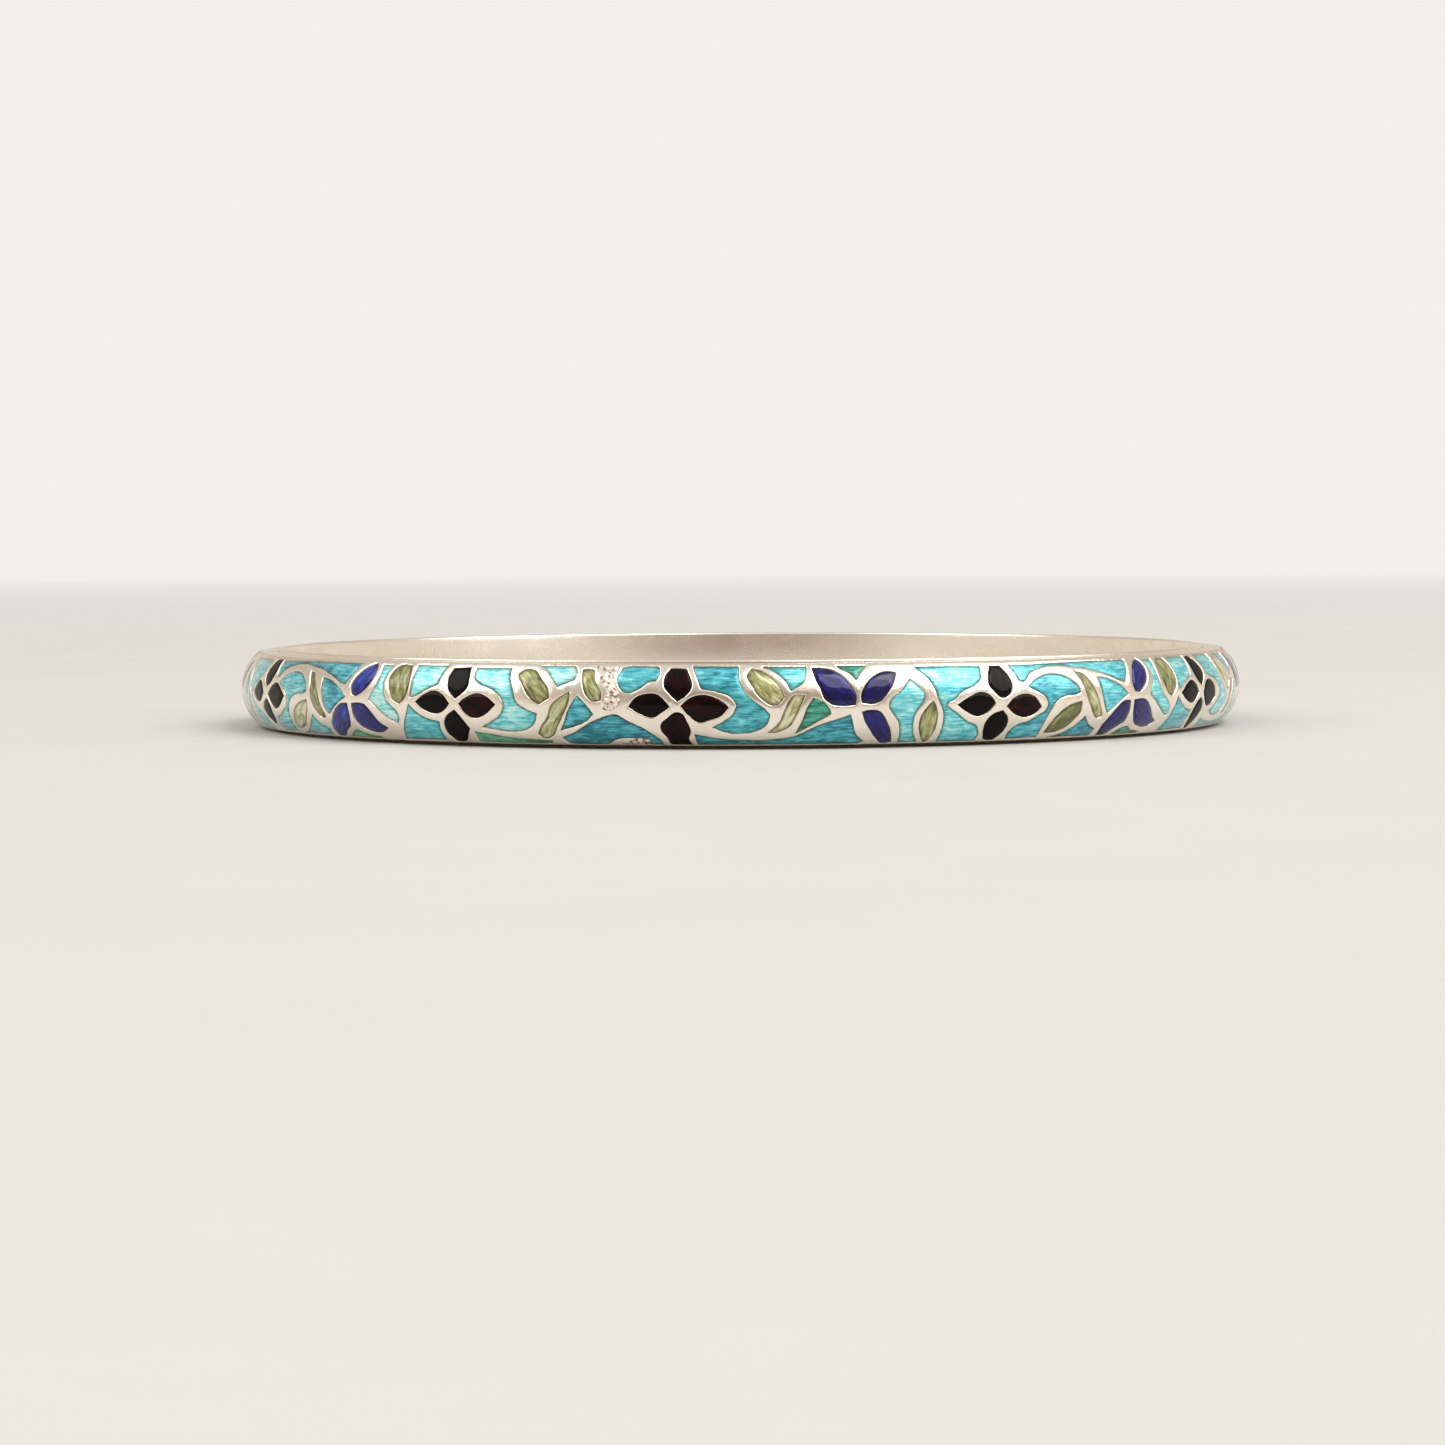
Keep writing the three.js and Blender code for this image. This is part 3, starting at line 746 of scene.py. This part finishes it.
def material(name):
    """A new material, its node tree and its shader."""
    made = bpy.data.materials.new(name)
    made.use_nodes = True
    return made, made.node_tree, made.node_tree.nodes["Principled BSDF"]


def node(tree, kind, inputs=None, **settings):
    """A shader node with its settings, and its inputs set or linked."""
    made = tree.nodes.new("ShaderNode" + kind)
    for key, value in settings.items():
        setattr(made, key, value)
    for key, value in (inputs or {}).items():
        if isinstance(value, bpy.types.NodeSocket):
            tree.links.new(value, made.inputs[key])
        else:
            made.inputs[key].default_value = value
    return made


def ramp(tree, factor, stops):
    """A colour ramp through (position, colour) stops."""
    made = node(tree, "ValToRGB", {"Fac": factor})
    elements = made.color_ramp.elements
    while len(elements) < len(stops):
        elements.new(0.5)
    for element, (position, colour) in zip(elements, stops):
        element.position = position
        element.color = colour
    return made.outputs["Color"]


def maths(tree, operation, first, second):
    """The result of one sum, whose terms are numbers or sockets."""
    made = node(tree, "Math", operation=operation)
    for socket, value in zip(made.inputs, (first, second)):
        if isinstance(value, bpy.types.NodeSocket):
            tree.links.new(value, socket)
        else:
            socket.default_value = value
    return made.outputs["Value"]


def mixed(tree, factor, first, second, blend="MIX"):
    """Two colours blended by factor."""
    made = node(tree, "Mix", data_type="RGBA", blend_type=blend)
    for socket, value in zip((made.inputs[0], made.inputs[6], made.inputs[7]),
                             (factor, first, second)):
        if isinstance(value, bpy.types.NodeSocket):
            tree.links.new(value, socket)
        else:
            socket.default_value = value
    return made.outputs[2]


def spread(tree, value, low, high, to_low=0.0, to_high=1.0):
    """The value carried from low..high to to_low..to_high, and held between those."""
    made = node(tree, "MapRange", {"Value": value, "From Min": low, "From Max": high,
                                   "To Min": to_low, "To Max": to_high})
    return made.outputs["Result"]


def enamel(name, shades, metallic, rough, streak, edge_shade, pits=0.04, gloss=1.0):
    """Translucent glass over engraved silver: streaks and fine grooves under a clear gloss."""
    made, tree, shader = material(name)
    grain = node(tree, "UVMap", uv_map="grain").outputs["UV"]
    edge = node(tree, "Attribute", attribute_name="edge").outputs["Fac"]
    tone = node(tree, "Attribute", attribute_name="tone").outputs["Fac"]
    place_at = node(tree, "TexCoord").outputs["Object"]
    long_grain = node(tree, "Mapping", {"Vector": grain, "Scale": (0.55, 1.5, 1)})
    clouds = node(tree, "TexNoise", {"Vector": long_grain.outputs["Vector"], "Scale": 1.6,
                                     "Detail": 4, "Roughness": 0.6, "Distortion": 0.7})
    groove_grain = node(tree, "Mapping", {"Vector": grain, "Scale": (0.7, 5.5, 1)})
    grooves = node(tree, "TexNoise", {"Vector": groove_grain.outputs["Vector"], "Scale": 1.5,
                                      "Detail": 3, "Roughness": 0.55, "Distortion": 0.5})
    cloud, groove = clouds.outputs["Fac"], grooves.outputs["Fac"]
    weight = maths(tree, "ADD", maths(tree, "MULTIPLY", cloud, 1 - streak),
                   maths(tree, "MULTIPLY", groove, streak))
    weight = maths(tree, "ADD", weight, maths(tree, "MULTIPLY", tone, 0.16))
    colour = ramp(tree, weight, shades)
    # Each cell darkens towards its rim: partly the thinner glass at the sunken edge, partly painted
    # shade where the glass meets the silver wall.
    shade = ramp(tree, spread(tree, edge, 0.0, 0.17), [(0, edge_shade), (1, (1, 1, 1, 1))])
    colour = mixed(tree, 1.0, colour, shade, "MULTIPLY")
    specks = node(tree, "TexVoronoi", {"Vector": grain, "Scale": 1.15})
    chosen = maths(tree, "LESS_THAN", specks.outputs["Distance"], pits)
    rare = maths(tree, "LESS_THAN", node(tree, "SeparateColor", {
        "Color": specks.outputs["Color"]}).outputs["Red"], 0.3)
    pit = maths(tree, "MULTIPLY", chosen, rare)
    colour = mixed(tree, pit, colour, rgb(20, 40, 40))
    tree.links.new(colour, shader.inputs["Base Color"])
    shader.inputs["Metallic"].default_value = metallic
    shader.inputs["Roughness"].default_value = rough
    shader.inputs["Specular IOR Level"].default_value = 0.15 * gloss
    shader.inputs["Coat Weight"].default_value = gloss
    shader.inputs["Coat Roughness"].default_value = 0.035
    shader.inputs["Coat IOR"].default_value = 1.52
    below = node(tree, "Bump", {"Height": groove, "Strength": 0.55, "Distance": 0.00006})
    tree.links.new(below.outputs["Normal"], shader.inputs["Normal"])
    waves = node(tree, "TexNoise", {"Vector": place_at, "Scale": 900, "Detail": 2})
    above = node(tree, "Bump", {"Height": waves.outputs["Fac"], "Strength": 0.12,
                                "Distance": 0.00004})
    tree.links.new(above.outputs["Normal"], shader.inputs["Coat Normal"])
    return made


def silver(name, bright, dull, rough, scratch, grit=0.0):
    """Silver worn by polishing: fine scratches, soft clouds of tarnish, duller in the corners with
    tarnish and painted shade.
    """
    made, tree, shader = material(name)
    grain = node(tree, "UVMap", uv_map="grain").outputs["UV"]
    edge = node(tree, "Attribute", attribute_name="edge").outputs["Fac"]
    place_at = node(tree, "TexCoord").outputs["Object"]
    clouds = node(tree, "TexNoise", {"Vector": place_at, "Scale": 420, "Detail": 5,
                                     "Roughness": 0.65})
    haze = spread(tree, clouds.outputs["Fac"], 0.35, 0.75)
    # Duller colour near the cell edges and in corners: partly tarnish, partly painted shade along
    # the rounding beside the enamel.
    corner_tarnish_and_shade = spread(tree, edge, 0.0, 0.06, 0.55, 0.0)
    amount = maths(tree, "ADD", maths(tree, "MULTIPLY", haze, 0.5), corner_tarnish_and_shade)
    if grit:
        crumbs = node(tree, "TexNoise", {"Vector": place_at, "Scale": 4200, "Detail": 4})
        amount = maths(tree, "ADD", amount, spread(
            tree, crumbs.outputs["Fac"], 0.42, 0.62, -0.3, 0.75))
    amount = node(tree, "Clamp", {"Value": amount}).outputs["Result"]
    colour = mixed(tree, amount, bright, dull)
    tree.links.new(colour, shader.inputs["Base Color"])
    shader.inputs["Metallic"].default_value = 1.0
    lines = node(tree, "Mapping", {"Vector": grain, "Scale": (0.8, 9, 1)})
    scratches = node(tree, "TexNoise", {"Vector": lines.outputs["Vector"], "Scale": 2.6,
                                        "Detail": 6, "Roughness": 0.7})
    tree.links.new(spread(tree, clouds.outputs["Fac"], 0.3, 0.7, rough * 0.75, rough * 1.35),
                   shader.inputs["Roughness"])
    height = scratches.outputs["Fac"]
    if grit:
        lumps = node(tree, "TexNoise", {"Vector": place_at, "Scale": 7000, "Detail": 4})
        height = maths(tree, "ADD", height, maths(tree, "MULTIPLY", lumps.outputs["Fac"], grit))
    bump = node(tree, "Bump", {"Height": height, "Strength": scratch, "Distance": 0.00003})
    tree.links.new(bump.outputs["Normal"], shader.inputs["Normal"])
    return made


# The palest, near-white stops are painted highlights along the streaks, above the glass's own
# deeper and lighter tones.
TURQUOISE = enamel("turquoise_glass", [
    (0.32, rgb(22, 120, 142)), (0.42, rgb(70, 184, 204)), (0.52, rgb(112, 218, 228)),
    (0.60, rgb(172, 242, 245)), (0.68, rgb(226, 255, 253))], 0.45, 0.28, 0.5,
    rgb(98, 140, 122))
EMERALD = enamel("emerald_glass", [
    (0.32, rgb(20, 112, 98)), (0.44, rgb(66, 172, 146)), (0.55, rgb(110, 206, 172)),
    (0.66, rgb(185, 238, 214))], 0.45, 0.28, 0.5, rgb(120, 160, 125))
OLIVE = enamel("olive_glass", [
    (0.34, rgb(94, 96, 50)), (0.44, rgb(144, 146, 88)), (0.53, rgb(184, 186, 134)),
    (0.62, rgb(228, 230, 198))], 0.4, 0.3, 0.3, rgb(130, 120, 94))
COBALT = enamel("cobalt_glass", [
    (0.34, rgb(6, 1, 52)), (0.46, rgb(16, 10, 100)), (0.58, rgb(30, 38, 146)),
    (0.7, rgb(60, 110, 215))], 0.35, 0.26, 0.55, rgb(90, 70, 120), 0.0, 0.7)
BLACK = enamel("black_glass", [
    (0.35, rgb(2, 0, 0)), (0.54, rgb(6, 1, 1)), (0.7, rgb(46, 3, 5))], 0.0, 0.3, 0.4,
    rgb(200, 190, 190), 0.0, 0.22)
SILVER = silver("worn_silver", rgb(255, 250, 240), rgb(222, 202, 180), 0.2, 0.14)
LINER_SILVER = silver("polished_silver", rgb(255, 251, 243), rgb(236, 220, 200), 0.24, 0.12)
SOLDER_SILVER = silver("solder_crust", rgb(255, 250, 240), rgb(138, 98, 66), 0.3, 1.0, 3.0)

# ---- the bangle ----
KINDS = {
    "black": ("black_flower", BLACK, "black_enamel"),
    "blue": ("blue_flower", COBALT, "blue_enamel"),
    "leaf_pair": ("leaf_pair", OLIVE, "olive_enamel"),
    "leaf_single": ("leaf_single", OLIVE, "olive_enamel"),
    "turquoise": ("turquoise_ground", TURQUOISE, "turquoise_enamel"),
    "emerald": ("turquoise_ground", EMERALD, "turquoise_enamel"),
}
# Cells of the front whose colour is set deeper (below 0) or paler (above 0) than the rest.
# The key is the kind of glass and the number of the unit, and there is one value for each cell.
TONES = {
    ("turquoise", 10): [0.3, 0.7, -0.9, -0.7, -0.2],
    ("turquoise", 0): [-0.5, -0.7, 0.0, 0.2, 0.0],
    ("turquoise", 1): [-0.2, -0.5, -0.8, -0.1, 0.1, 0.1, -0.4],
    ("emerald", 0): [-0.7, -0.7],
    ("blue", 0): [-0.5, -0.7, -0.2],
    ("blue", 1): [-0.2, -0.4, -0.3],
    ("leaf_pair", 1): [-0.9, 0.0],
}
luck = Random(5)
groups = {}
for kind, k, loop in CELLS:
    groups.setdefault((kind, k), []).append(loop)
for (kind, k), loops in groups.items():
    cad_name, surface, slot = KINDS[kind]
    shown = "emerald_cells" if kind == "emerald" else cad_name
    solids = [cell_solid(loop, kind, luck) for loop in loops]
    tones = TONES.get((kind, k), [luck.uniform(-0.6, 0.6) for _ in loops])
    build(f"{shown}_glass_{k:02d}", solids, surface, f"{cad_name}_{k:02d}", tones)
build("silver_cell_shell", [silver_shell([loop for _, _, loop in CELLS])], SILVER,
      "outer_shell")
build("polished_inner_band", [liner_band()], LINER_SILVER, "inner_liner")
build("seam_solder_crust", [solder_lump(SOLDER, luck), solder_lump(SOLDER_SPECK, luck)],
      SOLDER_SILVER, "seam_solder")


# ---- floor, light and camera ----
BACKDROP = rgb(240, 239, 236)
LAMP_DISTANCE = 1.2


def floor():
    """A wide round table top, level with the bangle's lower rim, that fades into the backdrop."""
    radius, rings, steps = 1.6, 12, 96
    points, faces = [(0, 0, 0)], []
    for k in range(1, rings + 1):
        r = radius * (k / rings) ** 2
        points += [(r * math.cos(t * math.tau / steps), r * math.sin(t * math.tau / steps), 0)
                   for t in range(steps)]
    for t in range(steps):
        faces.append((0, 1 + t, 1 + (t + 1) % steps))
    for k in range(rings - 1):
        inner, outer = 1 + k * steps, 1 + (k + 1) * steps
        for t in range(steps):
            u = (t + 1) % steps
            faces.append((inner + t, outer + t, outer + u, inner + u))
    mesh = bpy.data.meshes.new("floor")
    mesh.from_pydata(points, [], faces)
    table = bpy.data.objects.new("floor", mesh)
    bpy.context.scene.collection.objects.link(table)
    made, tree, shader = material("pale_floor")
    place_at = node(tree, "TexCoord").outputs["Object"]
    grain = node(tree, "TexNoise", {"Vector": place_at, "Scale": 60, "Detail": 3})
    tint = mixed(tree, grain.outputs["Fac"], rgb(206, 204, 200), rgb(213, 211, 208))
    tree.links.new(tint, shader.inputs["Base Color"])
    shader.inputs["Roughness"].default_value = 0.7
    away = node(tree, "VectorMath", {0: place_at}, operation="LENGTH").outputs["Value"]
    glow = node(tree, "Emission", {"Color": BACKDROP, "Strength": 1.0})
    blend = node(tree, "MixShader", {0: spread(tree, away, 0.12, 0.9), 1: shader.outputs["BSDF"],
                                     2: glow.outputs["Emission"]})
    tree.links.new(blend.outputs["Shader"], tree.nodes["Material Output"].inputs["Surface"])
    mesh.materials.append(made)


def lamp(name, azimuth, elevation, size, power, tint):
    """A soft panel light, at degrees to the right of the front and above level."""
    data = bpy.data.lights.new(name, "AREA")
    data.shape = "RECTANGLE"
    data.size, data.size_y = size
    data.energy = power
    data.color = tint
    turn, rise = math.radians(azimuth), math.radians(elevation)
    way = Vector((math.sin(turn) * math.cos(rise), -math.cos(turn) * math.cos(rise),
                  math.sin(rise)))
    made = bpy.data.objects.new(name, data)
    made.location = way * LAMP_DISTANCE
    made.rotation_euler = way.to_track_quat("Z", "Y").to_euler()
    bpy.context.scene.collection.objects.link(made)


def surroundings():
    """A pale room, dimmer and browner where the photographer stands."""
    world = bpy.data.worlds.new("pale_room")
    bpy.context.scene.world = world
    world.use_nodes = True
    tree = world.node_tree
    tree.nodes.clear()
    way = node(tree, "SeparateXYZ", {"Vector": node(tree, "TexCoord").outputs["Generated"]})
    room = ramp(tree, spread(tree, way.outputs["Z"], -1, 1), [
        (0.45, rgb(222, 213, 200)), (0.55, rgb(210, 200, 186)), (0.7, rgb(178, 168, 156)),
        (0.95, rgb(208, 205, 200))])
    front = spread(tree, way.outputs["Y"], -0.98, -0.76, 0.75, 0.0)
    room = mixed(tree, front, room, rgb(120, 98, 82))
    seen = node(tree, "Background", {"Color": BACKDROP, "Strength": 1.0})
    lit = node(tree, "Background", {"Color": room, "Strength": 1.12})
    which = node(tree, "MixShader", {
        0: node(tree, "LightPath").outputs["Is Camera Ray"],
        1: lit.outputs["Background"], 2: seen.outputs["Background"]})
    output = node(tree, "OutputWorld")
    tree.links.new(which.outputs["Shader"], output.inputs["Surface"])


def camera():
    """A long lens in front of the bangle, a little above it and tipped down."""
    distance, rise, lens = 7.4 * CREST, 9.911, 91.17
    pitch, yaw, roll = 0.0510, 0.0049, 0.0045
    data = bpy.data.cameras.new("camera")
    data.sensor_width, data.lens = 36, lens
    data.clip_start, data.clip_end = 0.01, 20
    made = bpy.data.objects.new("camera", data)
    bpy.context.scene.collection.objects.link(made)
    made.matrix_world = (
        Matrix.Translation(Vector((0, -distance, MIDDLE + rise)) * MM)
        @ Matrix.Rotation(yaw, 4, "Z")
        @ Matrix.Rotation(math.pi / 2 - pitch, 4, "X")
        @ Matrix.Rotation(-roll, 4, "Z")
    )
    bpy.context.scene.camera = made


floor()
surroundings()
lamp("tall_window", 74, 44, (0.9, 1.2), 8.2, (1.0, 0.99, 0.97))
lamp("ceiling_bounce", 38, 52, (0.6, 0.7), 3.4, (1.0, 0.98, 0.95))
lamp("left_window", -76, 42, (0.8, 0.9), 4.4, (1.0, 0.98, 0.96))
camera()
bpy.context.scene.view_settings.view_transform = "Standard"
